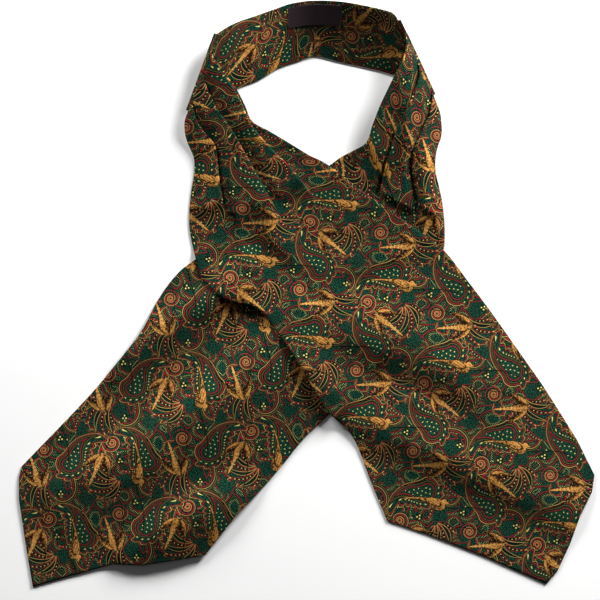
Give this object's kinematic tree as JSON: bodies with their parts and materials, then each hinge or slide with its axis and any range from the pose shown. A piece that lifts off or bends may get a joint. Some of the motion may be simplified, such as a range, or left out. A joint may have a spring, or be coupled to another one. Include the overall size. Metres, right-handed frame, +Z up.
{
  "type": "silk cravat",
  "caption": "Silk day cravat laid flat: a pleated neckband loop that opens into wide, crossed, pointed blades with a paisley and game-bird print.",
  "frame": {"origin": "centre of the bounding box's base, on the surface that the cravat lies on", "axes": "+Z up from that surface, +Y from the pointed ends towards the back of the neckband, +X to the right of someone who looks down with the neckband away from them"},
  "size_m": [0.4202, 0.4274, 0.0231],
  "materials": {
    "silk": "printed silk twill with a soft sheen",
    "label": "dark woven satin label, plain"
  },
  "bodies": {
    "root": {"pleats_left": "silk", "pleats_right": "silk", "blade_over": "silk", "blade_under": "silk", "neckband_left": "silk", "neckband_right": "silk", "neckband_label": "label"}
  },
  "joints": []
}
